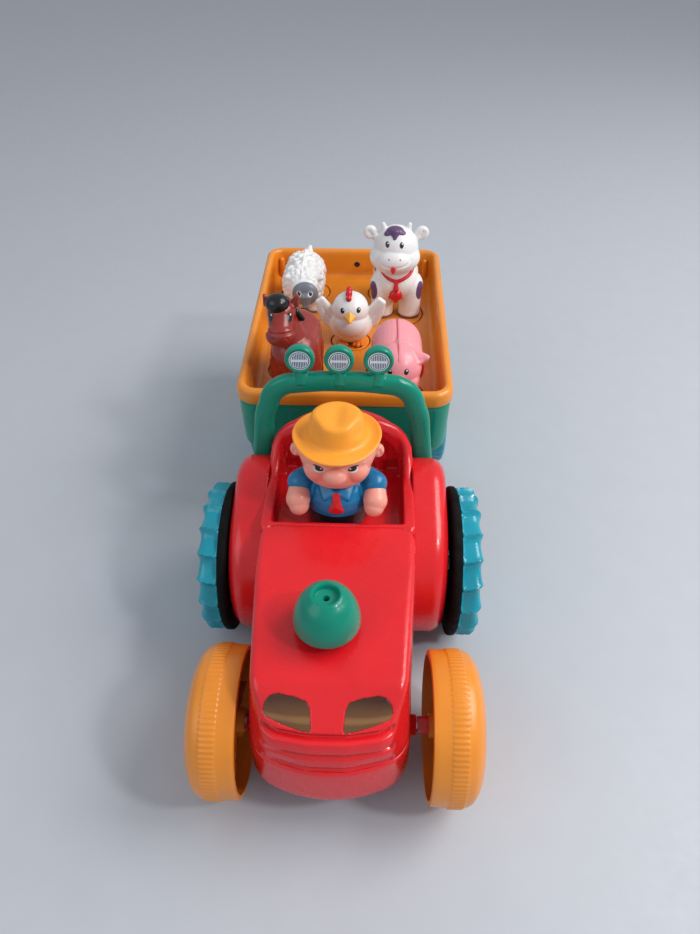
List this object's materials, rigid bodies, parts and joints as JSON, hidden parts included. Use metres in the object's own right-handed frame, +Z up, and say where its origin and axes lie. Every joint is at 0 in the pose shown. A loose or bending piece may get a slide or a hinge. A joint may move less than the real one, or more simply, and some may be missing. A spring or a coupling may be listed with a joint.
{
  "type": "toy tractor",
  "caption": "Toy farm tractor with a driver, roll bar with lamps, press-down stack, and a hitched trailer with farm animals on press keys.",
  "frame": {"origin": "on the ground below the middle of the whole train", "axes": "nose toward -Y, trailer toward +Y, +Z up, +X to the right when seen from the front of the tractor"},
  "size_m": [0.1626, 0.4246, 0.1714],
  "materials": {
    "red_plastic": "satin gloss moulded ABS",
    "green_plastic": "satin gloss moulded ABS",
    "yellow_plastic": "satin moulded ABS",
    "blue_plastic": "satin moulded ABS",
    "black_rubber": "matt soft rubber",
    "grey_rubber": "matt silicone",
    "black_plastic": "matt",
    "white_plastic": "matt acetal",
    "smoke_lens": "clear tinted, glossy",
    "reflector_metal": "bright",
    "led_clear": "clear",
    "decal": "printed sticker",
    "steel": "bright drawn",
    "spring_steel": "drawn wire",
    "brass": "turned",
    "cell": "printed sleeve",
    "board": "solder mask",
    "shirt_vinyl": "painted vinyl",
    "skin_vinyl": "painted vinyl",
    "straw_vinyl": "painted vinyl",
    "white_vinyl": "painted vinyl",
    "brown_vinyl": "painted vinyl",
    "pink_vinyl": "painted vinyl"
  },
  "bodies": {
    "chassis": {"lower_body": "red_plastic", "hood": "red_plastic", "cab": "red_plastic", "fender_left": "red_plastic", "fender_right": "red_plastic", "base_plate": "red_plastic", "battery_door": "red_plastic", "headlamp_lenses": "smoke_lens", "headlamp_reflectors": "reflector_metal", "headlamp_leds": "led_clear", "roll_bar": "green_plastic", "lamp_decals": "decal", "motor": "steel", "gearbox_housing": "white_plastic", "batteries": "cell", "battery_contacts": "steel", "circuit_board": "board", "speaker": "black_plastic", "body_screws": "steel", "hitch_peg": "red_plastic", "stack_spring": "spring_steel"},
    "stack_button": {"stack_button": "green_plastic"},
    "power_switch": {"power_switch": "black_plastic"},
    "front_wheelset": {"front_axle": "steel", "front_wheel_left": "yellow_plastic", "front_wheel_right": "yellow_plastic"},
    "rear_wheelset": {"rear_axle": "steel", "rear_wheel_left": "blue_plastic", "rear_wheel_right": "blue_plastic", "rear_tyre_left": "black_rubber", "rear_tyre_right": "black_rubber", "axle_gear": "white_plastic"},
    "reduction_gear": {"reduction_gear": "white_plastic"},
    "motor_shaft": {"motor_pinion": "brass"},
    "farmer": {"farmer_body": "shirt_vinyl", "farmer_head": "skin_vinyl", "farmer_hat": "straw_vinyl"},
    "trailer": {"trailer_body": "green_plastic", "trailer_tray": "yellow_plastic", "drawbar": "green_plastic", "trailer_base": "green_plastic", "trailer_battery_door": "green_plastic", "trailer_batteries": "cell", "sound_board": "board", "trailer_speaker": "black_plastic", "trailer_screws": "steel", "key_mat": "grey_rubber"},
    "trailer_wheelset": {"trailer_axle": "steel", "trailer_wheel_left": "blue_plastic", "trailer_wheel_right": "blue_plastic"},
    "key_cow": {"key_cow": "yellow_plastic"},
    "cow": {"cow": "white_vinyl"},
    "key_sheep": {"key_sheep": "yellow_plastic"},
    "sheep": {"sheep": "white_vinyl"},
    "key_horse": {"key_horse": "yellow_plastic"},
    "horse": {"horse": "brown_vinyl"},
    "key_pig": {"key_pig": "yellow_plastic"},
    "pig": {"pig": "pink_vinyl"},
    "key_chicken": {"key_chicken": "yellow_plastic"},
    "chicken": {"chicken": "white_vinyl"}
  },
  "joints": [
    {"name": "front_wheels_spin", "type": "hinge", "parent": "chassis", "child": "front_wheelset", "pos_m": [0, -0.174, 0.0383], "axis": [1, 0, 0], "continuous": true},
    {"name": "rear_wheels_spin", "type": "hinge", "parent": "chassis", "child": "rear_wheelset", "pos_m": [0, -0.0686, 0.0453], "axis": [1, 0, 0], "continuous": true},
    {"name": "reduction_gear_spin", "type": "hinge", "parent": "chassis", "child": "reduction_gear", "pos_m": [0, -0.09267, 0.05602], "axis": [1, 0, 0], "continuous": true},
    {"name": "motor_spin", "type": "hinge", "parent": "chassis", "child": "motor_shaft", "pos_m": [0, -0.11902, 0.05602], "axis": [1, 0, 0], "continuous": true},
    {"name": "stack_press", "type": "slide", "parent": "chassis", "child": "stack_button", "axis": [0, 0, 1], "range_m": [-0.0025, 0], "stiffness_N_per_m": 350, "springref_m": 0.004, "deforming": ["stack_spring"]},
    {"name": "power_switch_slide", "type": "slide", "parent": "chassis", "child": "power_switch", "axis": [0, 1, 0], "range_m": [0, 0.0065]},
    {"name": "farmer_lift", "type": "slide", "parent": "chassis", "child": "farmer", "axis": [0, 0, 1], "range_m": [0, 0.09]},
    {"name": "hitch_yaw", "type": "hinge", "parent": "chassis", "child": "trailer", "pos_m": [0, -0.012, 0.0437], "axis": [0, 0, 1], "range_deg": [-15, 15]},
    {"name": "trailer_wheels_spin", "type": "hinge", "parent": "trailer", "child": "trailer_wheelset", "pos_m": [0, 0.09, 0.034], "axis": [1, 0, 0], "continuous": true},
    {"name": "cow_press", "type": "slide", "parent": "trailer", "child": "key_cow", "axis": [0, 0, 1], "range_m": [-0.002, 0], "stiffness_N_per_m": 500, "springref_m": 0.003, "deforming": ["key_mat"]},
    {"name": "cow_lift", "type": "slide", "parent": "key_cow", "child": "cow", "axis": [0, 0, 1], "range_m": [0, 0.09]},
    {"name": "sheep_press", "type": "slide", "parent": "trailer", "child": "key_sheep", "axis": [0, 0, 1], "range_m": [-0.002, 0], "stiffness_N_per_m": 500, "springref_m": 0.003, "deforming": ["key_mat"]},
    {"name": "sheep_lift", "type": "slide", "parent": "key_sheep", "child": "sheep", "axis": [0, 0, 1], "range_m": [0, 0.09]},
    {"name": "horse_press", "type": "slide", "parent": "trailer", "child": "key_horse", "axis": [0, 0, 1], "range_m": [-0.002, 0], "stiffness_N_per_m": 500, "springref_m": 0.003, "deforming": ["key_mat"]},
    {"name": "horse_lift", "type": "slide", "parent": "key_horse", "child": "horse", "axis": [0, 0, 1], "range_m": [0, 0.09]},
    {"name": "pig_press", "type": "slide", "parent": "trailer", "child": "key_pig", "axis": [0, 0, 1], "range_m": [-0.002, 0], "stiffness_N_per_m": 500, "springref_m": 0.003, "deforming": ["key_mat"]},
    {"name": "pig_lift", "type": "slide", "parent": "key_pig", "child": "pig", "axis": [0, 0, 1], "range_m": [0, 0.09]},
    {"name": "chicken_press", "type": "slide", "parent": "trailer", "child": "key_chicken", "axis": [0, 0, 1], "range_m": [-0.002, 0], "stiffness_N_per_m": 500, "springref_m": 0.003, "deforming": ["key_mat"]},
    {"name": "chicken_lift", "type": "slide", "parent": "key_chicken", "child": "chicken", "axis": [0, 0, 1], "range_m": [0, 0.09]}
  ],
  "couplings": [
    {"joint": "reduction_gear_spin", "follows": "rear_wheels_spin", "ratio": -2.5},
    {"joint": "motor_spin", "follows": "rear_wheels_spin", "ratio": 6.25}
  ]
}
